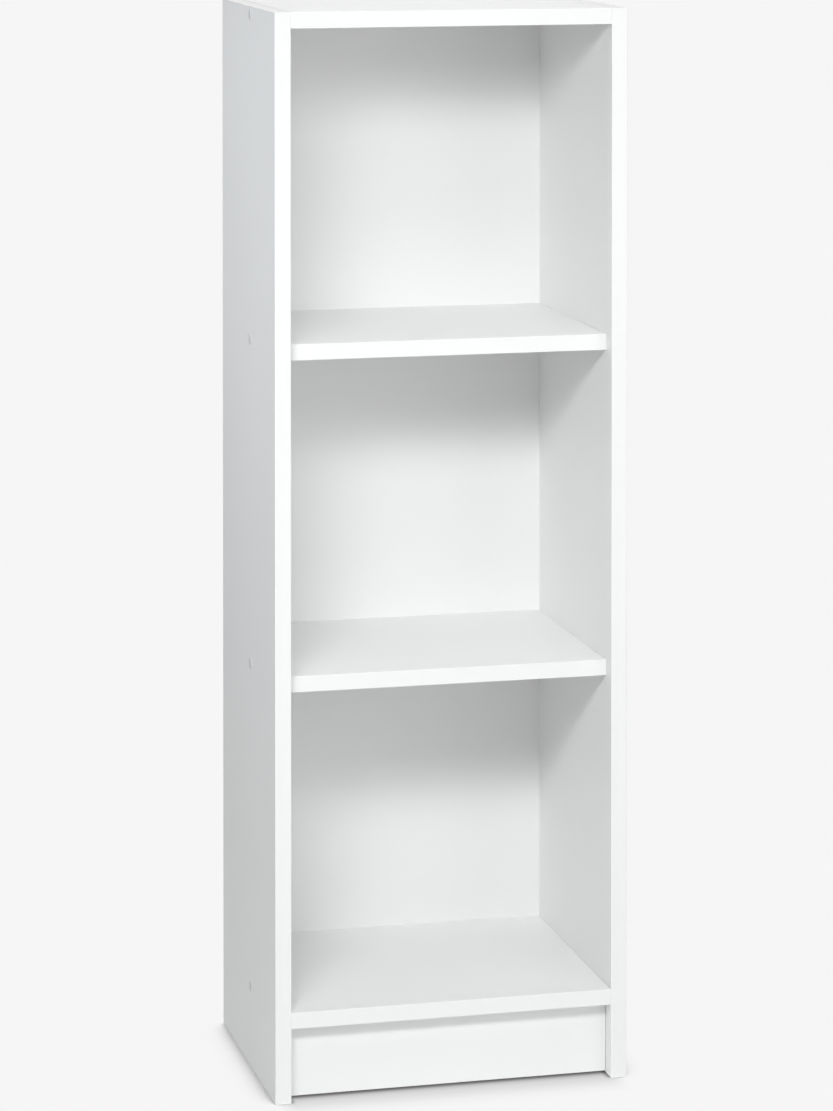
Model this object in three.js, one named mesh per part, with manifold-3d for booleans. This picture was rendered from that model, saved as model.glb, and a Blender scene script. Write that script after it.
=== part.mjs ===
// A narrow open bookcase in white melamine-faced chipboard: two full-height sides, a top, two fixed shelves
// and a bottom shelf between them, a set-back plinth, and a thin hardboard back nailed to the rear edges.
//
// Each horizontal board is held at each end by one countersunk panel screw, driven through the side and
// hidden under a plastic cap, with a wooden dowel in front of the screw and one behind it. The plinth is
// held by dowels alone.
//
// Millimetres, +Z up, front towards -Y. The origin is on the floor, under the middle of the carcass.

import * as THREE from "three";
import { mergeVertices } from "three/addons/utils/BufferGeometryUtils.js";
import Module from "manifold-3d";

const wasm = await Module();
wasm.setup();

// ---- Driving dimensions ----

const WIDTH = 400; // over the two sides
const DEPTH = 300; // front edges of the sides to the outer face of the back panel
const BOARD = 18; // chipboard thickness
const BACK = 3; // hardboard thickness
const PLINTH_SPACE = 82; // floor to the underside of the bottom shelf
const COMPARTMENT = 347; // clear height of each of the three compartments
const SETBACK = 20; // front edge of a side to the front of a shelf or of the plinth
const FLOOR_GAP = 2; // the plinth hangs this far above the floor
const BACK_MARGIN = 2; // the back panel stops this far inside the carcass outline

const SCREW_FROM_FRONT = 135; // front edge of a side to the line of the panel screws
const DOWEL_FROM_SCREW = 96; // a screw to the dowel in front of it or behind it
const PLINTH_DOWEL_PITCH = 40;
const NAILS_PER_SIDE = 6;
const NAIL_FROM_CORNER = 25; // corner of the back panel to the first nail up a side
const NAIL_FROM_MIDDLE = 60; // centre line to the nails along the top and the bottom

// Panel screw with a hexagonal socket. Depths are measured from the top of its head.
const SCREW = {
  length: 50,
  headRadius: 5,
  rim: 0.6,
  headDepth: 4.2,
  neckRadius: 3.5,
  neckDepth: 16,
  threadRadius: 3.2,
  point: 5,
  sunk: 0.3,
  socketRadius: 2.3,
  socketDepth: 3,
};
// Cover cap, with a peg that presses into the screw's socket.
const CAP = {
  radius: 6,
  edge: 0.45,
  flatRadius: 4.2,
  shoulder: 0.8,
  crown: 0.9,
  pegRadius: 1.7,
  pegLength: 2.6,
};
const DOWEL = { radius: 4, length: 30, chamfer: 1, inSide: 12 };
const NAIL = { headRadius: 2, head: 0.8, radius: 0.8, length: 22, point: 2 };

const CLEARANCE = 0.3; // between a fastener and its bore, on the radius and at the ends
const MOUTH = 1; // how far a bore's cutter starts outside the face that it is driven from

// Sides of each turned shape and of its bore.
const SIDES = { screw: 16, cap: 20, dowel: 12, nail: 8 };

// ---- Derived places ----

const sideX = (WIDTH - BOARD) / 2; // middle of a side's thickness
const innerX = WIDTH / 2 - BOARD; // inner face of a side
const frontY = -DEPTH / 2;
const backY = DEPTH / 2 - BACK; // rear edges of the boards, where the back panel lies
const shelfFrontY = frontY + SETBACK;
const screwY = frontY + SCREW_FROM_FRONT;
const plinthHeight = PLINTH_SPACE - FLOOR_GAP;
const shelfPitch = COMPARTMENT + BOARD;
const bottomZ = PLINTH_SPACE + BOARD / 2;
const height = PLINTH_SPACE + 3 * shelfPitch + BOARD;
const backBottomZ = PLINTH_SPACE + BACK_MARGIN;
const backTopZ = height - BACK_MARGIN;

// The horizontal boards, from the floor up, each with the height of its middle and its front edge.
const bottomShelf = { name: "bottom_shelf", z: bottomZ, frontY };
const lowerShelf = { name: "lower_shelf", z: bottomZ + shelfPitch, frontY: shelfFrontY };
const upperShelf = { name: "upper_shelf", z: bottomZ + 2 * shelfPitch, frontY: shelfFrontY };
const topPanel = { name: "top_panel", z: bottomZ + 3 * shelfPitch, frontY };
const levels = [bottomShelf, lowerShelf, upperShelf, topPanel];

const hands = [
  { name: "left", sign: -1 },
  { name: "right", sign: 1 },
];

// ---- Materials ----

const melamine = new THREE.MeshStandardMaterial({ color: 0xf3f3f1, roughness: 0.42 });
const hardboard = new THREE.MeshStandardMaterial({ color: 0xeeeeeb, roughness: 0.6 });
const zinc = new THREE.MeshStandardMaterial({ color: 0xb9bcc0, roughness: 0.35, metalness: 1 });
const steel = new THREE.MeshStandardMaterial({ color: 0x9a9da0, roughness: 0.4, metalness: 1 });
const beech = new THREE.MeshStandardMaterial({ color: 0xd9bb8c, roughness: 0.75 });
const capPlastic = new THREE.MeshStandardMaterial({ color: 0xf1f1ef, roughness: 0.5 });

// ---- Solids ----

function solidFrom(geometry) {
  const bare = geometry.clone();
  bare.deleteAttribute("normal");
  bare.deleteAttribute("uv");
  const merged = mergeVertices(bare, 1e-4);
  return new wasm.Manifold(
    new wasm.Mesh({
      numProp: 3,
      vertProperties: merged.attributes.position.array,
      triVerts: new Uint32Array(merged.index.array),
    }),
  );
}

function geometryFrom(solid) {
  const mesh = solid.getMesh();
  const geometry = new THREE.BufferGeometry();
  geometry.setAttribute("position", new THREE.BufferAttribute(mesh.vertProperties, 3));
  geometry.setIndex(new THREE.BufferAttribute(mesh.triVerts, 1));
  const flat = geometry.toNonIndexed();
  flat.computeVertexNormals();
  return flat;
}

// Turns [radius, distance] points about +Y, the way that a fastener is driven.
function turned(sides, points) {
  const profile = points.map(([radius, along]) => new THREE.Vector2(radius, along));
  return new THREE.LatheGeometry(profile, sides);
}

// ---- Fasteners ----
// Each is turned from its outer face, at 0, and is driven along +Y. The bore that holds it is the same
// outline grown by the clearance, and it is open at the face that the fastener is driven from.

function screwGeometry() {
  const s = SCREW;
  const blank = turned(SIDES.screw, [
    [0, 0],
    [s.headRadius, 0],
    [s.headRadius, s.rim],
    [s.neckRadius, s.headDepth],
    [s.neckRadius, s.neckDepth],
    [s.threadRadius, s.neckDepth],
    [s.threadRadius, s.length - s.point],
    [0, s.length],
  ]);
  const socket = new THREE.CylinderGeometry(s.socketRadius, s.socketRadius, 2 * s.socketDepth, 6);
  return geometryFrom(solidFrom(blank).subtract(solidFrom(socket)));
}

function screwBoreGeometry() {
  const s = SCREW;
  return turned(SIDES.screw, [
    [0, -s.sunk - MOUTH],
    [s.headRadius + CLEARANCE, -s.sunk - MOUTH],
    [s.headRadius + CLEARANCE, s.rim],
    [s.neckRadius + CLEARANCE, s.headDepth],
    [s.neckRadius + CLEARANCE, s.length + CLEARANCE],
    [0, s.length + CLEARANCE],
  ]);
}

function capGeometry() {
  const c = CAP;
  return turned(SIDES.cap, [
    [0, -c.crown],
    [c.flatRadius, -c.shoulder],
    [c.radius, -c.edge],
    [c.radius, 0],
    [c.pegRadius, 0],
    [c.pegRadius, c.pegLength],
    [0, c.pegLength],
  ]);
}

function dowelGeometry() {
  const d = DOWEL;
  return turned(SIDES.dowel, [
    [0, 0],
    [d.radius - d.chamfer, 0],
    [d.radius, d.chamfer],
    [d.radius, d.length - d.chamfer],
    [d.radius - d.chamfer, d.length],
    [0, d.length],
  ]);
}

// Blind at both ends: part of it is in each of the two boards that the dowel joins.
function dowelBoreGeometry() {
  const d = DOWEL;
  return turned(SIDES.dowel, [
    [0, -CLEARANCE],
    [d.radius + CLEARANCE, -CLEARANCE],
    [d.radius + CLEARANCE, d.length + CLEARANCE],
    [0, d.length + CLEARANCE],
  ]);
}

function nailGeometry() {
  const n = NAIL;
  return turned(SIDES.nail, [
    [0, 0],
    [n.headRadius, 0],
    [n.headRadius, n.head],
    [n.radius, n.head],
    [n.radius, n.length - n.point],
    [0, n.length],
  ]);
}

function nailBoreGeometry() {
  const n = NAIL;
  return turned(SIDES.nail, [
    [0, -MOUTH],
    [n.headRadius + CLEARANCE, -MOUTH],
    [n.headRadius + CLEARANCE, n.head],
    [n.radius + CLEARANCE, n.head],
    [n.radius + CLEARANCE, n.length + CLEARANCE],
    [0, n.length + CLEARANCE],
  ]);
}

const kinds = {
  screw: { geometry: screwGeometry(), bore: screwBoreGeometry(), material: zinc },
  cap: { geometry: capGeometry(), bore: null, material: capPlastic },
  dowel: { geometry: dowelGeometry(), bore: dowelBoreGeometry(), material: beech },
  nail: { geometry: nailGeometry(), bore: nailBoreGeometry(), material: steel },
};

const fasteners = new THREE.Group();
const bores = []; // every bore as a solid, in the bookcase's own frame

function addFastener(kind, name, start, direction) {
  const { geometry, bore, material } = kinds[kind];
  const mesh = new THREE.Mesh(geometry, material.clone());
  mesh.name = name;
  mesh.position.copy(start);
  mesh.quaternion.setFromUnitVectors(new THREE.Vector3(0, 1, 0), direction);
  fasteners.add(mesh);
  if (!bore) return;
  mesh.updateMatrix();
  bores.push(solidFrom(bore.clone().applyMatrix4(mesh.matrix)));
}

// One end of a horizontal board: a capped screw between two dowels.
function fastenBoardEnd(level, hand) {
  const inwards = new THREE.Vector3(-hand.sign, 0, 0);
  const place = (x, y) => new THREE.Vector3(hand.sign * x, y, level.z);
  addFastener("screw", `${level.name}_screw_${hand.name}`, place(WIDTH / 2 - SCREW.sunk, screwY), inwards);
  addFastener("cap", `${level.name}_cap_${hand.name}`, place(WIDTH / 2, screwY), inwards);
  const dowelX = innerX + DOWEL.inSide;
  const dowelName = `${level.name}_dowel_${hand.name}`;
  addFastener("dowel", `${dowelName}_front`, place(dowelX, screwY - DOWEL_FROM_SCREW), inwards);
  addFastener("dowel", `${dowelName}_rear`, place(dowelX, screwY + DOWEL_FROM_SCREW), inwards);
}

function fastenPlinthEnd(hand) {
  const inwards = new THREE.Vector3(-hand.sign, 0, 0);
  const place = (z) => new THREE.Vector3(hand.sign * (innerX + DOWEL.inSide), shelfFrontY + BOARD / 2, z);
  const middleZ = FLOOR_GAP + plinthHeight / 2;
  const dowelName = `plinth_dowel_${hand.name}`;
  addFastener("dowel", `${dowelName}_lower`, place(middleZ - PLINTH_DOWEL_PITCH / 2), inwards);
  addFastener("dowel", `${dowelName}_upper`, place(middleZ + PLINTH_DOWEL_PITCH / 2), inwards);
}

// Nails up each side, and along the top and the bottom shelf, all driven forwards from behind.
function nailBackPanel() {
  const forwards = new THREE.Vector3(0, -1, 0);
  const place = (x, z) => new THREE.Vector3(x, DEPTH / 2, z);
  const firstZ = backBottomZ + NAIL_FROM_CORNER;
  const lastZ = backTopZ - NAIL_FROM_CORNER;
  for (const hand of hands) {
    for (let i = 0; i < NAILS_PER_SIDE; i++) {
      const z = firstZ + ((lastZ - firstZ) * i) / (NAILS_PER_SIDE - 1);
      addFastener("nail", `back_nail_${hand.name}_${i + 1}`, place(hand.sign * sideX, z), forwards);
    }
    for (const level of [bottomShelf, topPanel]) {
      const nailName = `back_nail_${level.name}_${hand.name}`;
      addFastener("nail", nailName, place(hand.sign * NAIL_FROM_MIDDLE, level.z), forwards);
    }
  }
}

for (const hand of hands) {
  for (const level of levels) fastenBoardEnd(level, hand);
  fastenPlinthEnd(hand);
}
nailBackPanel();

// ---- Boards ----

const carcass = new THREE.Group();
const allBores = bores.reduce((joined, bore) => joined.add(bore));

// A rectangular board between two corners, with every bore that reaches it drilled out.
function addBoard(name, material, low, high) {
  const size = high.map((value, axis) => value - low[axis]);
  const middle = high.map((value, axis) => (value + low[axis]) / 2);
  const blank = new THREE.BoxGeometry(...size).translate(...middle);
  const drilled = geometryFrom(solidFrom(blank).subtract(allBores));
  drilled.translate(...middle.map((value) => -value));
  const mesh = new THREE.Mesh(drilled, material.clone());
  mesh.name = name;
  mesh.position.set(...middle);
  carcass.add(mesh);
}

addBoard("left_side", melamine, [-WIDTH / 2, frontY, 0], [-innerX, backY, height]);
addBoard("right_side", melamine, [innerX, frontY, 0], [WIDTH / 2, backY, height]);
for (const level of levels) {
  const low = [-innerX, level.frontY, level.z - BOARD / 2];
  const high = [innerX, backY, level.z + BOARD / 2];
  addBoard(level.name, melamine, low, high);
}
addBoard("plinth", melamine, [-innerX, shelfFrontY, FLOOR_GAP], [innerX, shelfFrontY + BOARD, PLINTH_SPACE]);
addBoard(
  "back_panel",
  hardboard,
  [BACK_MARGIN - WIDTH / 2, backY, backBottomZ],
  [WIDTH / 2 - BACK_MARGIN, DEPTH / 2, backTopZ],
);

const bookcase = new THREE.Group();
bookcase.add(carcass, fasteners);

export default bookcase;
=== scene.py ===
"""Looks for a full-size open bookcase in white melamine-faced chipboard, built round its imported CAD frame.

Every board, edging strip and fastener is a fine mesh that stands for its CAD node and sits in the node's own
box. Metres, +Z up, front towards -Y, as in the frame. Detail sizes are in millimetres and pass through mm().
"""

import math

import bmesh
import bpy
from mathutils import Matrix, Vector


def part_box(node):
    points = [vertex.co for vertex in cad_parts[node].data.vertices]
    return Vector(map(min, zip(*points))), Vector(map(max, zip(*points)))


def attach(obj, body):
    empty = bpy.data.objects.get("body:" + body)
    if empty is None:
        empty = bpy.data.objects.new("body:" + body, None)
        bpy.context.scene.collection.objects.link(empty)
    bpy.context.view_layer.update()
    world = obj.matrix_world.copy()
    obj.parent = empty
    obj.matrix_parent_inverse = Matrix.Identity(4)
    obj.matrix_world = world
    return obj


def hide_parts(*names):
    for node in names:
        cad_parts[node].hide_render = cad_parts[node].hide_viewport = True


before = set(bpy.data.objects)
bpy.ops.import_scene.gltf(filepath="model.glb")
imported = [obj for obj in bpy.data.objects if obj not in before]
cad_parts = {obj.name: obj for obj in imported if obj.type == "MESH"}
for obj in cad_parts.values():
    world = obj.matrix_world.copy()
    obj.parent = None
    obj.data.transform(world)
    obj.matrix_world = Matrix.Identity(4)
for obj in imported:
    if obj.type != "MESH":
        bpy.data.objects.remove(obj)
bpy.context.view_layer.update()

# ---- Detail sizes, in millimetres ----

EDGING = 0.8  # thickness of the plastic strips glued to the seen edges of the boards
ARRIS = 0.6  # rounding of the long outer corners of a strip
CRISP = 0.12  # rounding of a sawn corner
FIT = 0.3  # gap between a fastener and its bore, as in the frame
SEAM = 0.2  # shadow gap at the right end of a shelf
PLINTH_SEAM = 0.3  # shadow gap at each end of the plinth

SCREW_SIDES, SCREW_RIM, SCREW_CONE_END, SCREW_NECK, SCREW_NECK_END = 48, 0.6, 4.2, 3.5, 16.0
SCREW_CORE, SCREW_CREST, SCREW_PITCH, SCREW_POINT = 2.45, 3.4, 3.0, 5.0
SOCKET_WIDTH, SOCKET_DEPTH = 4.0, 3.0  # across the flats of the hexagon
DOWEL_FLUTES, FLUTE_DEPTH = 18, 0.28
NAIL_RINGS = 8
NAIL_SHANK, NAIL_POINT = 0.8, 2.0  # radius of the shank, length of the point
CAP_CROWN, CAP_PEG = 0.9, 1.7  # thickness of the disc, radius of the peg under it
DOWEL_CHAMFER = 1.0
BORE_OVERRUN = 2  # a screw or nail bore starts this far outside its fastener, so that its mouth is cut clean

# ---- Viewpoint and light ----

CAMERA_AZIMUTH = -13.867  # degrees round from the front, towards the left side
CAMERA_DISTANCE = 4.4286  # metres from the upright axis of the bookcase
CAMERA_HEIGHT = 1.4246  # metres above the floor
CAMERA_TILT = -1.316  # degrees above the horizon, so the camera looks slightly down
LENS = 126.547  # millimetres, for a 36 mm long side
LENS_DROP = 0.5985  # the lens is shifted down to keep the uprights parallel, as a share of the long side
LENS_LEFT = 0.0034  # the same, to the left
HOME_REACH = 0.05  # metres sideways from its stand over which the camera loses the shift

PAGE = 0.92  # linear grey of the plain surroundings
ROOM = 0.293  # linear grey of the even light from all round
KEY_COLOUR = (0.972, 1.0, 0.995)
STUDIO_LIGHTS = (  # name, place and aim in metres, width and height, beam in degrees, watts, colour
    ("key", (-0.89, -2.18, 1.75), (0, 0, 0.5), (0.9, 0.35), 80, 3.31, KEY_COLOUR),
    ("key_above", (-0.705, -2.25, 2.0), (0, 0, 0.1), (0.9, 0.35), 80, 4.37, KEY_COLOUR),
    ("key_far", (-2.01, -3.09, 2.31), (0, 0, 0.45), (0.87, 0.47), 90, 3.26, KEY_COLOUR),
    ("overhead_front", (0, -0.8, 2.8), (0, 0, 0.7), (1.2, 1.2), 180, 9.43, (1, 1, 1)),
    ("overhead_rear", (0, 0.8, 2.6), (0, 0, 0.7), (1.2, 1.2), 180, 15.57, (1, 1, 1)),
    ("upper_front", (0.2, -1.6, 2.6), (0.15, -0.1, 1.15), (0.5, 0.5), 30, 0.163, (1, 1, 1)),
    ("fill_right", (1.5, -2.6, 1.2), (0, 0, 0.6), (1.5, 1.5), 180, 13.9, (1, 1, 1)),
    ("side_left", (-2.5, 0, 1.3), (-0.2, 0, 1.1), (0.5, 0.5), 45, 1.19, (0.95, 1.0, 1.06)),
)
FLOOR_REACH = 120.0  # metres
CONTACT_REACH = 0.07  # metres over which the contact shadow fades
CONTACT_SHADE = (  # openness of the floor within that reach, and its brightness as a share of the page
    (0, 0.12),
    (0.42, 0.25),
    (0.5, 0.44),
    (0.53, 0.62),
    (0.56, 0.79),
    (0.59, 0.89),
    (0.62, 0.94),
    (0.66, 0.975),
    (0.72, 0.992),
    (0.82, 1),
)
RECESS_SHADE = (  # millimetres in front of the set-back plinth, and the brightness of the floor there
    (-350, 1),
    (-310, 0.93),
    (-280, 0.75),
    (-200, 0.45),
    (-20, 0.3),
    (-6, 0.1),
    (0, 0.22),
    (5, 0.5),
    (8, 0.62),
    (12, 0.69),
    (18, 0.77),
    (25, 0.8),
    (32, 0.85),
    (48, 0.945),
    (61, 0.985),
    (70, 1),
)
SHADE_FEATHER = (18, -6)  # millimetres past the plinth's end where its shade starts, and where it is full
RECESS_FEATHER = (2, -8)  # the same, for the place where the contact shadow gives way to it


def mm(value):
    return value / 1000


# ---- Meshes ----


def make_object(name, mesh_data, materials):
    piece = bpy.data.objects.new(name, mesh_data)
    if not mesh_data.materials:
        for material in materials:
            mesh_data.materials.append(material)
    bpy.context.scene.collection.objects.link(piece)
    return piece


def as_piece(piece, slot, *nodes):
    """Hides the CAD nodes that a finished object stands for and puts the object in the root body; slot is not
    used.
    """
    if nodes:
        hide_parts(*nodes)
    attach(piece, "root")
    return piece


def to_mesh(name, shape):
    bmesh.ops.recalc_face_normals(shape, faces=shape.faces[:])
    data = bpy.data.meshes.new(name)
    shape.to_mesh(data)
    shape.free()
    return data


def smooth(data, angle):
    """Smooth shading, except across corners sharper than angle, in degrees."""
    data.shade_smooth()
    data.set_sharp_from_angle(angle=math.radians(angle))


def box_shape(low, high):
    shape = bmesh.new()
    bmesh.ops.create_cube(shape, size=1)
    size = Vector(high) - Vector(low)
    bmesh.ops.scale(shape, vec=size, verts=shape.verts)
    bmesh.ops.translate(shape, vec=(Vector(high) + Vector(low)) / 2, verts=shape.verts)
    return shape


def round_edges(shape, edges, radius, segments):
    bmesh.ops.bevel(
        shape,
        geom=edges,
        offset=radius,
        offset_type="OFFSET",
        segments=segments,
        profile=0.5,
        affect="EDGES",
        clamp_overlap=True,
    )


def turned(name, stations, sides, shape_radius=None):
    """A closed turned mesh about +Z, the way that a fastener is driven.

    stations are (radius, depth) in millimetres; a radius of 0 is a pole and comes only first and last.
    shape_radius(radius, depth, angle) may change a radius round the turn, for flats, flutes and threads.
    """
    shape = bmesh.new()
    rings = []
    for radius, depth in stations:
        if radius == 0:
            rings.append([shape.verts.new((0, 0, mm(depth)))])
            continue
        ring = []
        for step in range(sides):
            angle = 2 * math.pi * step / sides
            here = shape_radius(radius, depth, angle) if shape_radius else radius
            ring.append(shape.verts.new((mm(here) * math.cos(angle), mm(here) * math.sin(angle), mm(depth))))
        rings.append(ring)
    for near, far in zip(rings, rings[1:]):
        for step in range(sides):
            after = (step + 1) % sides
            corners = [near[step % len(near)], near[after % len(near)]]
            corners += [far[after % len(far)], far[step % len(far)]]
            shape.faces.new(list(dict.fromkeys(corners)))
    data = to_mesh(name, shape)
    smooth(data, 35)
    return data


# ---- Materials ----


def add_node(tree, kind, inputs=(), **settings):
    """Adds a node; inputs is a list of (socket name or number, value or output socket)."""
    made = tree.nodes.new("ShaderNode" + kind)
    for key, value in settings.items():
        setattr(made, key, value)
    for key, value in inputs:
        if isinstance(value, bpy.types.NodeSocket):
            tree.links.new(value, made.inputs[key])
        else:
            made.inputs[key].default_value = value
    return made


def start_material(name):
    """A new material with its tree, its principled shader and the frame's coordinates, in metres."""
    material = bpy.data.materials.new(name)
    material.use_nodes = True
    tree = material.node_tree
    return material, tree, tree.nodes["Principled BSDF"], add_node(tree, "TexCoord").outputs["Object"]


def stretched(tree, place, scale):
    return add_node(tree, "Mapping", [("Vector", place), ("Scale", scale)]).outputs["Vector"]


def noise(tree, place, scale, detail=2.0, rough=0.5):
    inputs = [("Vector", place), ("Scale", scale), ("Detail", detail), ("Roughness", rough)]
    return add_node(tree, "TexNoise", inputs).outputs["Fac"]


def spread(tree, value, low, high):
    """Maps a 0 to 1 value to the range low to high."""
    return add_node(tree, "MapRange", [("Value", value), ("To Min", low), ("To Max", high)]).outputs["Result"]


def ramp(tree, value, stops):
    made = add_node(tree, "ValToRGB", [("Fac", value)])
    elements = made.color_ramp.elements
    while len(elements) < len(stops):
        elements.new(0.5)
    for element, (position, colour) in zip(elements, stops):
        element.position = position
        element.color = (*colour, 1)
    return made.outputs["Color"]


def grey_ramp(tree, value, stops):
    return ramp(tree, value, [(position, (grey, grey, grey)) for position, grey in stops])


def mixed(tree, share, first, second, blend="MIX"):
    """First and second colours, blended by share."""
    made = add_node(tree, "Mix", data_type="RGBA", blend_type=blend)
    for index, value in ((0, share), (6, first), (7, second)):
        if isinstance(value, bpy.types.NodeSocket):
            tree.links.new(value, made.inputs[index])
        elif index:
            made.inputs[index].default_value = (*value, 1)
        else:
            made.inputs[index].default_value = value
    return made.outputs[2]


def math_node(tree, operation, *values):
    return add_node(tree, "Math", list(enumerate(values)), operation=operation).outputs["Value"]


def bump(tree, height, depth, under=None):
    """A bump of the given depth in millimetres, laid over another bump if there is one."""
    inputs = [("Height", height), ("Distance", mm(depth)), ("Strength", 1.0)]
    if under is not None:
        inputs.append(("Normal", under))
    return add_node(tree, "Bump", inputs).outputs["Normal"]


def set_inputs(tree, shader, **values):
    for key, value in values.items():
        socket = shader.inputs[key.replace("_", " ")]
        if isinstance(value, bpy.types.NodeSocket):
            tree.links.new(value, socket)
        else:
            socket.default_value = value


def melamine_foil():
    """White resin-faced paper: a fine pearl grain, faint cloudiness and slightly uneven gloss."""
    material, tree, shader, place = start_material("white_melamine_foil")
    clouds = noise(tree, place, 4.0, 3.0)
    grain = noise(tree, place, 900.0, 2.0, 0.6)
    handling = noise(tree, place, 14.0, 5.0, 0.62)
    colour = mixed(tree, clouds, (0.821, 0.821, 0.821), (0.839, 0.839, 0.839))
    set_inputs(
        tree,
        shader,
        Base_Color=colour,
        Roughness=spread(tree, handling, 0.36, 0.52),
        IOR=1.48,
        Normal=bump(tree, grain, 0.02),
    )
    return material


def plastic_edging():
    """White extruded strip: smooth, with faint draw lines along it."""
    material, tree, shader, place = start_material("white_plastic_edging")
    lines = noise(tree, stretched(tree, place, (6000, 6000, 40)), 1.0, 2.0)
    clouds = noise(tree, place, 6.0, 2.0)
    set_inputs(
        tree,
        shader,
        Base_Color=mixed(tree, clouds, (0.830, 0.830, 0.830), (0.842, 0.842, 0.842)),
        Roughness=spread(tree, clouds, 0.34, 0.42),
        IOR=1.5,
        Normal=bump(tree, lines, 0.006),
    )
    return material


def raw_chipboard():
    """Sawn particle board: chips of several wood colours, with pits between them."""
    material, tree, shader, place = start_material("raw_chipboard")
    wander = add_node(tree, "TexNoise", [("Vector", place), ("Scale", 400.0)]).outputs["Color"]
    warped = add_node(tree, "MixRGB", [("Fac", 0.002), ("Color1", place), ("Color2", wander)])
    cells = [("Vector", warped.outputs["Color"]), ("Scale", 520.0)]
    chips = add_node(tree, "TexVoronoi", cells)
    gaps = add_node(tree, "TexVoronoi", cells, feature="DISTANCE_TO_EDGE")
    tone = add_node(tree, "SeparateColor", [("Color", chips.outputs["Color"])]).outputs["Red"]
    chip_colours = [
        (0.0, (0.26, 0.15, 0.07)),
        (0.35, (0.48, 0.31, 0.16)),
        (0.7, (0.62, 0.44, 0.25)),
        (1.0, (0.72, 0.56, 0.36)),
    ]
    wood = ramp(tree, tone, chip_colours)
    pits = spread(tree, gaps.outputs["Distance"], 0.0, 6.0)
    set_inputs(
        tree,
        shader,
        Base_Color=mixed(tree, pits, (0.16, 0.09, 0.045), wood),
        Roughness=0.9,
        IOR=1.4,
        Normal=bump(tree, pits, 0.15, under=bump(tree, noise(tree, place, 2500.0, 3.0), 0.05)),
    )
    return material


def lacquered_hardboard():
    """The seen face of the back: white lacquer over pressed fibre, with a slight orange-peel."""
    material, tree, shader, place = start_material("white_lacquered_hardboard")
    peel = noise(tree, place, 260.0, 2.0, 0.5)
    clouds = noise(tree, place, 3.0, 3.0)
    set_inputs(
        tree,
        shader,
        Base_Color=mixed(tree, clouds, (0.821, 0.821, 0.821), (0.839, 0.839, 0.839)),
        Roughness=spread(tree, clouds, 0.5, 0.6),
        IOR=1.46,
        Normal=bump(tree, peel, 0.02),
    )
    return material


def bare_hardboard():
    """The unseen face and the edges of the back: brown pressed fibre."""
    material, tree, shader, place = start_material("bare_hardboard")
    fibres = noise(tree, stretched(tree, place, (900, 900, 350)), 1.0, 6.0, 0.7)
    blotches = noise(tree, stretched(tree, place, (14, 14, 6)), 1.0, 6.0, 0.65)
    fibre_colours = [
        (0.25, (0.14, 0.075, 0.035)),
        (0.55, (0.25, 0.145, 0.072)),
        (0.8, (0.38, 0.24, 0.13)),
    ]
    fibre = ramp(tree, fibres, fibre_colours)
    blotch_share = grey_ramp(tree, blotches, [(0.35, 0), (0.68, 0.75)])
    set_inputs(
        tree,
        shader,
        Base_Color=mixed(tree, blotch_share, fibre, (0.15, 0.082, 0.04)),
        Roughness=spread(tree, fibres, 0.62, 0.8),
        IOR=1.45,
        Normal=bump(tree, fibres, 0.06),
    )
    return material


def zinc_plate():
    """Bright zinc on the screws: cool, slightly mottled, with fine turning marks."""
    material, tree, shader, place = start_material("zinc_plate")
    mottle = noise(tree, place, 700.0, 4.0, 0.6)
    marks = noise(tree, stretched(tree, place, (9000, 400, 400)), 1.0, 2.0)
    set_inputs(
        tree,
        shader,
        Base_Color=mixed(tree, mottle, (0.52, 0.55, 0.60), (0.70, 0.71, 0.70)),
        Metallic=1.0,
        Roughness=spread(tree, mottle, 0.24, 0.42),
        Normal=bump(tree, marks, 0.01),
    )
    return material


def nail_steel():
    """Bright drawn steel, a little darker and rougher than the zinc."""
    material, tree, shader, place = start_material("nail_steel")
    mottle = noise(tree, place, 1500.0, 4.0, 0.6)
    set_inputs(
        tree,
        shader,
        Base_Color=mixed(tree, mottle, (0.36, 0.37, 0.38), (0.56, 0.56, 0.56)),
        Metallic=1.0,
        Roughness=spread(tree, mottle, 0.3, 0.5),
        Normal=bump(tree, mottle, 0.01),
    )
    return material


def beech():
    """Pale pinkish wood with short dark flecks along the grain, which runs along X as the dowels do."""
    material, tree, shader, place = start_material("beech")
    grain = noise(tree, stretched(tree, place, (60, 700, 700)), 1.0, 4.0, 0.6)
    flecks = noise(tree, stretched(tree, place, (350, 3000, 3000)), 1.0, 1.0)
    wood_colours = [
        (0.3, (0.54, 0.36, 0.20)),
        (0.6, (0.68, 0.49, 0.29)),
        (0.8, (0.76, 0.58, 0.37)),
    ]
    wood = ramp(tree, grain, wood_colours)
    fleck_share = ramp(tree, flecks, [(0.62, (0, 0, 0)), (0.72, (0.6, 0.6, 0.6))])
    set_inputs(
        tree,
        shader,
        Base_Color=mixed(tree, fleck_share, wood, (0.30, 0.17, 0.085)),
        Roughness=spread(tree, grain, 0.62, 0.78),
        IOR=1.45,
        Normal=bump(tree, grain, 0.04),
    )
    return material


def cap_plastic():
    """Pale grey moulded plastic, clearly greyer than the boards partly as painted shade for the shadow round
    the cap, with a fine spark-eroded texture.
    """
    material, tree, shader, place = start_material("grey_cap_plastic_with_painted_shade")
    texture = noise(tree, place, 3000.0, 2.0, 0.5)
    set_inputs(
        tree,
        shader,
        # The cap's own grey plastic, darkened further as painted shade that stands for the shadow at its rim.
        Base_Color=mixed(tree, noise(tree, place, 90.0), (0.60, 0.60, 0.60), (0.64, 0.64, 0.64)),
        Roughness=spread(tree, texture, 0.38, 0.5),
        IOR=1.49,
        Subsurface_Weight=0.08,
        Subsurface_Scale=mm(1.0),
        Normal=bump(tree, texture, 0.01),
    )
    return material


FOIL = melamine_foil()
STRIP = plastic_edging()
CHIPBOARD = raw_chipboard()
LACQUER = lacquered_hardboard()
HARDBOARD = bare_hardboard()
ZINC = zinc_plate()
STEEL = nail_steel()
BEECH = beech()
CAP = cap_plastic()

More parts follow.
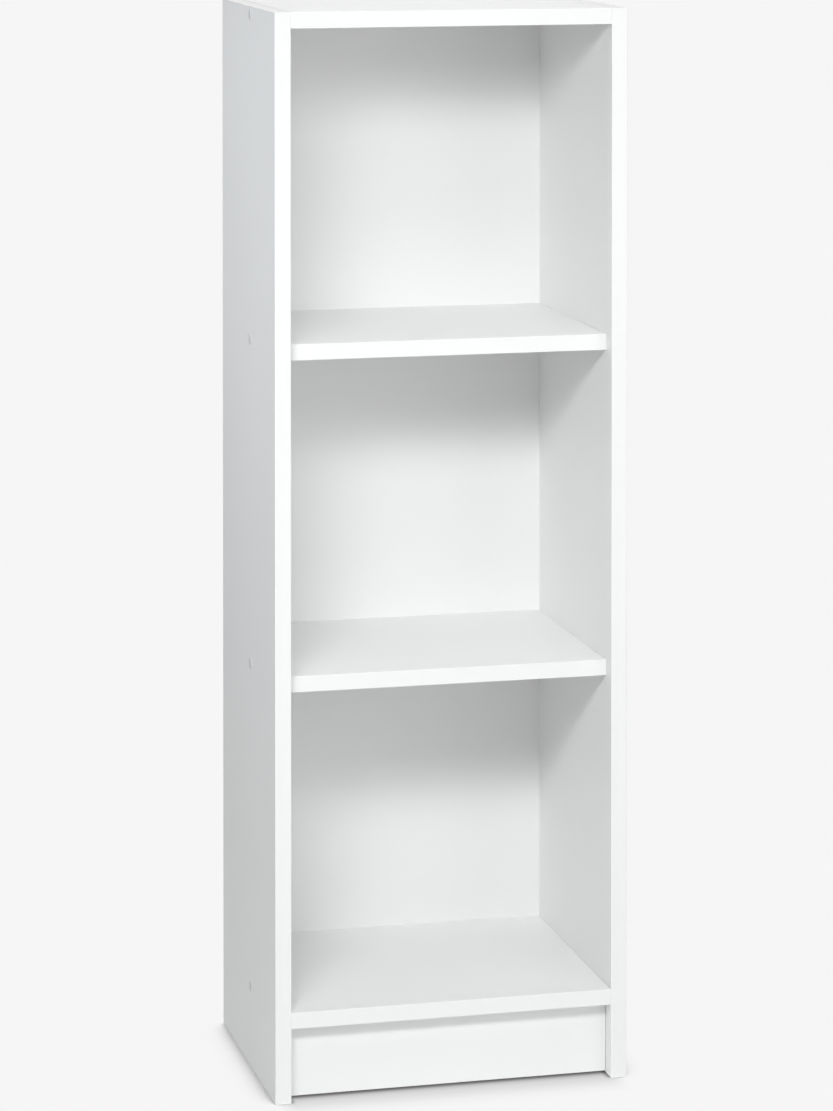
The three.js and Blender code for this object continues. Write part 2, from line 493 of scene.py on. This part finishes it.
# ---- Fasteners ----
# Each is one mesh, shared by its copies, that starts at its outermost point and is driven along +Z.

node_names = sorted(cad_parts)
SCREWS = [name for name in node_names if "_screw_" in name]
CAPS = [name for name in node_names if "_cap_" in name]
DOWELS = [name for name in node_names if "_dowel_" in name]
NAILS = [name for name in node_names if name.startswith("back_nail_")]


def hexagon(across_flats, angle):
    """Radius of a hexagon at an angle."""
    sixth = math.pi / 3
    return across_flats / 2 / math.cos(angle % sixth - sixth / 2)


def length_and_radius(name):
    """Length along the driving axis and greatest radius of a fastener's CAD node, in millimetres."""
    low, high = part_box(name)
    size = (high - low) * 1000
    if name in NAILS:
        return size.y, size.x / 2
    return size.x, size.y / 2


def screw_mesh():
    length, head = length_and_radius(SCREWS[0])
    thread_start, thread_end = SCREW_NECK_END + 1, length - 1
    step = 0.3
    rings = int((thread_end - thread_start) / step)
    thread = [(SCREW_CORE, thread_start + (thread_end - thread_start) * i / rings) for i in range(rings + 1)]

    def shape_radius(radius, depth, angle):
        if radius == SOCKET_WIDTH / 2:  # the wall of the socket
            return hexagon(SOCKET_WIDTH, angle)
        if depth < thread_start:
            return radius
        turn = (depth / SCREW_PITCH - angle / (2 * math.pi)) % 1
        ridge = max(0.0, 1 - abs(turn - 0.5) / 0.2)
        into = min(1.0, (depth - thread_start) / SCREW_PITCH)
        taper = min(1.0, (length - depth) / SCREW_POINT)
        return SCREW_CORE * taper ** 0.7 + (SCREW_CREST - SCREW_CORE) * ridge * into * taper

    stations = [
        (0, SOCKET_DEPTH),
        (SOCKET_WIDTH / 2, SOCKET_DEPTH),
        (SOCKET_WIDTH / 2, 0.2),
        (SOCKET_WIDTH / 2 + 0.45, 0),
        (head - 0.2, 0),
        (head, 0.15),
        (head, SCREW_RIM),
        (SCREW_NECK, SCREW_CONE_END),
        (SCREW_NECK, SCREW_NECK_END),
        *thread,
        (0, length),
    ]
    return turned("threaded_screw", stations, SCREW_SIDES, shape_radius)


def cap_mesh():
    """A domed disc with a rounded rim, over a peg with a rounded tip."""
    length, radius = length_and_radius(CAPS[0])
    stations = [(0, 0), (0.5 * radius, 0.02), (0.72 * radius, 0.09)]
    for i in range(5):
        turn = math.radians(22.5 * i)
        stations.append((radius - 0.5 + 0.5 * math.sin(turn), 0.72 - 0.5 * math.cos(turn)))
    stations += [(radius, CAP_CROWN - 0.06), (radius - 0.06, CAP_CROWN), (CAP_PEG, CAP_CROWN)]
    stations += [(CAP_PEG, length - 0.3), (CAP_PEG - 0.3, length), (0, length)]
    return turned("moulded_cap", stations, 48)


def dowel_mesh():
    length, radius = length_and_radius(DOWELS[0])
    chamfer = DOWEL_CHAMFER

    def shape_radius(here, depth, angle):
        flute = 0.5 - 0.5 * math.cos(DOWEL_FLUTES * angle)
        return here - FLUTE_DEPTH * flute ** 3 * (here > radius - 0.01)

    stations = [
        (0, 0),
        (radius - chamfer, 0),
        (radius - 0.15, chamfer - 0.15),
        (radius, chamfer + 0.3),
        (radius, length - chamfer - 0.3),
        (radius - 0.15, length - chamfer + 0.15),
        (radius - chamfer, length),
        (0, length),
    ]
    return turned("fluted_dowel", stations, DOWEL_FLUTES * 6, shape_radius)


def nail_mesh():
    """A flat head, a shank with ring grooves under it, and a four-sided point."""
    length, head = length_and_radius(NAILS[0])
    shank, point = NAIL_SHANK, NAIL_POINT
    stations = [(0, 0), (0.6 * head, 0.02), (head - 0.12, 0.1), (head, 0.25), (head, 0.6), (head - 0.1, 0.75)]
    stations += [(shank + 0.15, 0.8), (shank, 1.0)]
    for i in range(NAIL_RINGS):
        depth = 4.0 + i
        stations += [(shank, depth), (shank - 0.12, depth + 0.1), (shank - 0.02, depth + 0.9)]
    stations += [(shank, 4.5 + NAIL_RINGS), (shank, length - point), (0.15, length - 0.1), (0, length)]

    def shape_radius(here, depth, angle):
        share = max(0.0, (depth - length + point) / point)
        quarter = math.pi / 2
        square = here * math.cos(quarter / 2) / math.cos(angle % quarter - quarter / 2)
        return here + (square - here) * share

    return turned("ringed_nail", stations, 24, shape_radius)


def driven(name):
    """The place and turn that put a fastener's start at the outer end of its CAD node."""
    low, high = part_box(name)
    middle = (low + high) / 2
    if name in NAILS:
        start, direction = Vector((middle.x, high.y, middle.z)), Vector((0, -1, 0))
    elif middle.x < 0:
        start, direction = Vector((low.x, middle.y, middle.z)), Vector((1, 0, 0))
    else:
        start, direction = Vector((high.x, middle.y, middle.z)), Vector((-1, 0, 0))
    turn = Vector((0, 0, 1)).rotation_difference(direction).to_matrix().to_4x4()
    return Matrix.Translation(start) @ turn


def place_fasteners(names, data, word, material, slot):
    for name in names:
        piece = make_object(f"{word}_{name}", data, [material])
        piece.matrix_world = driven(name)
        as_piece(piece, slot, name)


place_fasteners(SCREWS, screw_mesh(), "threaded", ZINC, "zinc_screw")
place_fasteners(CAPS, cap_mesh(), "moulded", CAP, "cap_plastic")
place_fasteners(DOWELS, dowel_mesh(), "fluted", BEECH, "beech_dowel")
place_fasteners(NAILS, nail_mesh(), "ringed", STEEL, "steel_nail")

# ---- Bores ----


def screw_bore():
    length, head = length_and_radius(SCREWS[0])
    neck = SCREW_NECK + FIT
    mouth = [(0, -BORE_OVERRUN), (head + FIT, -BORE_OVERRUN), (head + FIT, SCREW_RIM)]
    return turned("screw_bore", mouth + [(neck, SCREW_CONE_END), (neck, length + FIT), (0, length + FIT)], 32)


def dowel_bore():
    length, radius = length_and_radius(DOWELS[0])
    stations = [(0, -FIT), (radius + FIT, -FIT), (radius + FIT, length + FIT), (0, length + FIT)]
    return turned("dowel_bore", stations, 32)


def nail_bore():
    length, head = length_and_radius(NAILS[0])
    shank = NAIL_SHANK + FIT
    mouth = [(0, -BORE_OVERRUN), (head + FIT, -BORE_OVERRUN), (head + FIT, 0.8)]
    return turned("nail_bore", mouth + [(shank, 0.8), (shank, length + FIT), (0, length + FIT)], 24)


def drill(piece, low, high, wall_slot):
    """Cuts every bore that reaches the board between low and high; the walls take material slot wall_slot."""
    bores = bmesh.new()
    for names, data in ((SCREWS, BORES["screw"]), (DOWELS, BORES["dowel"]), (NAILS, BORES["nail"])):
        for name in names:
            node_low, node_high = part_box(name)
            if all(node_high[i] > low[i] and node_low[i] < high[i] for i in range(3)):
                one = data.copy()
                one.transform(driven(name))
                bores.from_mesh(one)
                bpy.data.meshes.remove(one)
    for face in bores.faces:
        face.material_index = wall_slot
    data = bpy.data.meshes.new("bores")
    bores.to_mesh(data)
    bores.free()
    cutter = make_object("bores", data, [slot.material for slot in piece.material_slots])
    cut = piece.modifiers.new("bores", "BOOLEAN")
    cut.object = cutter
    cut.operation = "DIFFERENCE"
    cut.solver = "EXACT"
    apply_modifiers(piece)
    bpy.data.objects.remove(cutter)


def apply_modifiers(piece):
    bpy.context.view_layer.update()
    evaluated = piece.evaluated_get(bpy.context.evaluated_depsgraph_get())
    final = bpy.data.meshes.new_from_object(evaluated)
    piece.modifiers.clear()
    piece.data = final


def weight_normals(piece):
    """Keeps the flat faces flat in shading and rounds only the arrises."""
    piece.data.shade_smooth()
    weighted = piece.modifiers.new("flat_faces", "WEIGHTED_NORMAL")
    weighted.weight = 100


BORES = {"screw": screw_bore(), "dowel": dowel_bore(), "nail": nail_bore()}

# ---- Boards ----


def board(name, node, low, high, faced_axis, materials, slot):
    """A sawn board with crisp corners; its two faces across faced_axis are foil and its edges are raw."""
    shape = box_shape(low, high)
    round_edges(shape, shape.edges[:], mm(CRISP), 1)
    shape.normal_update()
    for face in shape.faces:
        along = face.normal[faced_axis]
        face.material_index = 0 if abs(along) > 0.99 else 1
    piece = make_object(name, to_mesh(name, shape), materials)
    drill(piece, low, high, 1)
    weight_normals(piece)
    return as_piece(piece, slot, node)


def edging(name, low, high, outward):
    """A strip with its two long outer corners rounded; outward is the axis and sign of its seen face."""
    axis, sign = outward
    shape = box_shape(low, high)
    size = Vector(high) - Vector(low)
    length_axis = max(range(3), key=lambda i: size[i])
    face_at = high[axis] if sign > 0 else low[axis]
    long_outer = []
    for edge in shape.edges:
        start, end = (vert.co for vert in edge.verts)
        if abs((end - start)[length_axis]) > 1e-6 and abs(start[axis] - face_at) < 1e-6:
            long_outer.append(edge)
    round_edges(shape, long_outer, mm(ARRIS), 4)
    piece = make_object(name, to_mesh(name, shape), [STRIP])
    weight_normals(piece)
    return as_piece(piece, "melamine_board")


def build_side(node):
    """A side with edging down its front and along its upper end."""
    low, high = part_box(node)
    strip = mm(EDGING)
    edging(f"{node}_front_edging", low, (high.x, low.y + strip, high.z), (1, -1))
    edging(f"{node}_top_edging", (low.x, low.y + strip, high.z - strip), high, (2, 1))
    core_low = Vector((low.x, low.y + strip, low.z))
    core_high = Vector((high.x, high.y, high.z - strip))
    board(f"{node}_board", node, core_low, core_high, 0, [FOIL, CHIPBOARD], "melamine_board")


def shortened(node, left_gap, right_gap):
    """The box of a board between the sides, with a shadow gap at its ends."""
    low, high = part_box(node)
    return low + Vector((mm(left_gap), 0, 0)), high - Vector((mm(right_gap), 0, 0))


def build_shelf(node):
    """A horizontal board with edging along its front."""
    low, high = shortened(node, 0, SEAM)
    strip = mm(EDGING)
    edging(f"{node}_front_edging", low, (high.x, low.y + strip, high.z), (1, -1))
    core_low = Vector((low.x, low.y + strip, low.z))
    board(f"{node}_board", node, core_low, high, 2, [FOIL, CHIPBOARD], "melamine_board")


def build_plinth(node):
    low, high = shortened(node, PLINTH_SEAM, PLINTH_SEAM)
    board(f"{node}_board", node, low, high, 1, [FOIL, CHIPBOARD], "melamine_board")


def build_back(node):
    """A sheet with lacquer on the face that looks forwards and bare fibre elsewhere."""
    low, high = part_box(node)
    piece = board(f"{node}_sheet", node, low, high, 1, [LACQUER, HARDBOARD], "back_board")
    for face in piece.data.polygons:
        if face.normal.y > 0.5:
            face.material_index = 1
    return piece


for side in ("left_side", "right_side"):
    build_side(side)
for shelf in ("bottom_shelf", "lower_shelf", "upper_shelf", "top_panel"):
    build_shelf(shelf)
build_plinth("plinth")
build_back("back_panel")

for data in BORES.values():
    bpy.data.meshes.remove(data)

# ---- Stage ----


def build_floor():
    """A plain pale floor that runs to the horizon."""
    shape = bmesh.new()
    bmesh.ops.create_grid(shape, x_segments=1, y_segments=1, size=FLOOR_REACH)
    floor = make_object("floor", to_mesh("floor", shape), [floor_material()])


def floor_material():
    """Seen by the camera, the floor is as plain as the page, with a soft shadow where something stands on it.

    For every other ray it is a pale matt surface, so that it lights the bookcase from below as a floor does.
    """
    material, tree, shader, place = start_material("pale_floor")
    clouds = noise(tree, place, 1.5)
    pale = mixed(tree, clouds, (0.87, 0.87, 0.87), (0.89, 0.89, 0.89))
    set_inputs(tree, shader, Base_Color=pale, Roughness=0.8)
    openness = add_node(tree, "AmbientOcclusion", [("Distance", CONTACT_REACH)], samples=16).outputs["AO"]
    shade = recess_shade(tree, place, grey_ramp(tree, openness, CONTACT_SHADE))
    page = mixed(tree, 1.0, shade, (PAGE, PAGE, PAGE), "MULTIPLY")
    plain = add_node(tree, "Emission", [("Color", page)]).outputs["Emission"]
    seen = add_node(tree, "LightPath").outputs["Is Camera Ray"]
    surface = add_node(tree, "MixShader", [(0, seen), (1, shader.outputs["BSDF"]), (2, plain)])
    tree.links.new(surface.outputs["Shader"], tree.nodes["Material Output"].inputs["Surface"])
    return material


def recess_shade(tree, place, contact):
    """Adds the shade of the plinth's space to the contact shadow.

    Between the sides it is the only shade, because the contact shadow is too dark in the corners there.
    """
    plinth_low, plinth_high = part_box("plinth")
    axes = add_node(tree, "SeparateXYZ", [("Vector", place)])
    sideways = math_node(tree, "ABSOLUTE", axes.outputs["X"])

    def inward_of(feather):
        start, end = (plinth_high.x + mm(distance) for distance in feather)
        limits = [("Value", sideways), ("From Min", start), ("From Max", end)]
        return add_node(tree, "MapRange", limits, interpolation_type="SMOOTHSTEP").outputs["Result"]

    nearest, farthest = RECESS_SHADE[0][0], RECESS_SHADE[-1][0]
    ends = [("From Min", plinth_low.y - mm(nearest)), ("From Max", plinth_low.y - mm(farthest))]
    forwards = add_node(tree, "MapRange", [("Value", axes.outputs["Y"]), *ends]).outputs["Result"]
    stops = [((distance - nearest) / (farthest - nearest), grey) for distance, grey in RECESS_SHADE]
    recess = grey_ramp(tree, forwards, stops)
    beyond = mixed(tree, inward_of(SHADE_FEATHER), (1, 1, 1), recess)
    outside = mixed(tree, 1.0, contact, beyond, "MULTIPLY")
    return mixed(tree, inward_of(RECESS_FEATHER), outside, recess)


def build_world():
    """The camera sees a plain page; everything else is lit evenly from all round."""
    world = bpy.data.worlds.new("studio")
    bpy.context.scene.world = world
    world.use_nodes = True
    tree = world.node_tree
    tree.nodes.clear()
    room = add_node(tree, "Background", [("Color", (ROOM, ROOM, ROOM, 1))]).outputs["Background"]
    page = add_node(tree, "Background", [("Color", (PAGE, PAGE, PAGE, 1))]).outputs["Background"]
    seen = add_node(tree, "LightPath").outputs["Is Camera Ray"]
    chosen = add_node(tree, "MixShader", [(0, seen), (1, room), (2, page)]).outputs["Shader"]
    add_node(tree, "OutputWorld", [("Surface", chosen)])


def softbox(name, place, aim, size, beam, power, colour):
    """A rectangular light with a grid over it that limits its beam."""
    data = bpy.data.lights.new(name, "AREA")
    data.shape = "RECTANGLE"
    data.size, data.size_y = size
    data.spread = math.radians(beam)
    data.energy = power
    data.color = colour
    light = bpy.data.objects.new(name, data)
    light.location = place
    light.rotation_euler = (Vector(aim) - light.location).to_track_quat("-Z", "Y").to_euler()
    bpy.context.scene.collection.objects.link(light)


def build_camera():
    data = bpy.data.cameras.new("camera")
    camera = bpy.data.objects.new("camera", data)
    turn = math.radians(CAMERA_AZIMUTH)
    camera.location = (CAMERA_DISTANCE * math.sin(turn), -CAMERA_DISTANCE * math.cos(turn), CAMERA_HEIGHT)
    camera.rotation_euler = (math.radians(90 + CAMERA_TILT), 0, turn)
    data.lens = LENS
    bpy.context.scene.collection.objects.link(camera)
    bpy.context.scene.camera = camera
    shift_lens(camera, "shift_x", -LENS_LEFT)
    shift_lens(camera, "shift_y", -LENS_DROP)


def shift_lens(camera, channel, amount):
    """Shifts the lens only while the camera's X place is the one that build_camera gave it.

    A camera that is moved to another side of the bookcase, for another view, has its lens centred.
    """
    curve = camera.data.driver_add(channel)
    for modifier in list(curve.modifiers):
        curve.modifiers.remove(modifier)
    curve.driver.type = "SUM"
    stand = curve.driver.variables.new()
    stand.type = "TRANSFORMS"
    stand.targets[0].id = camera
    stand.targets[0].transform_type = "LOC_X"
    home = camera.location.x
    for place, shift in ((home - HOME_REACH, 0), (home, amount), (home + HOME_REACH, 0)):
        curve.keyframe_points.insert(place, shift).interpolation = "LINEAR"


build_floor()
build_world()
for light_settings in STUDIO_LIGHTS:
    softbox(*light_settings)
build_camera()

scene = bpy.context.scene
scene.view_settings.view_transform = "Standard"
scene.cycles.max_bounces = 16
scene.cycles.diffuse_bounces = 10
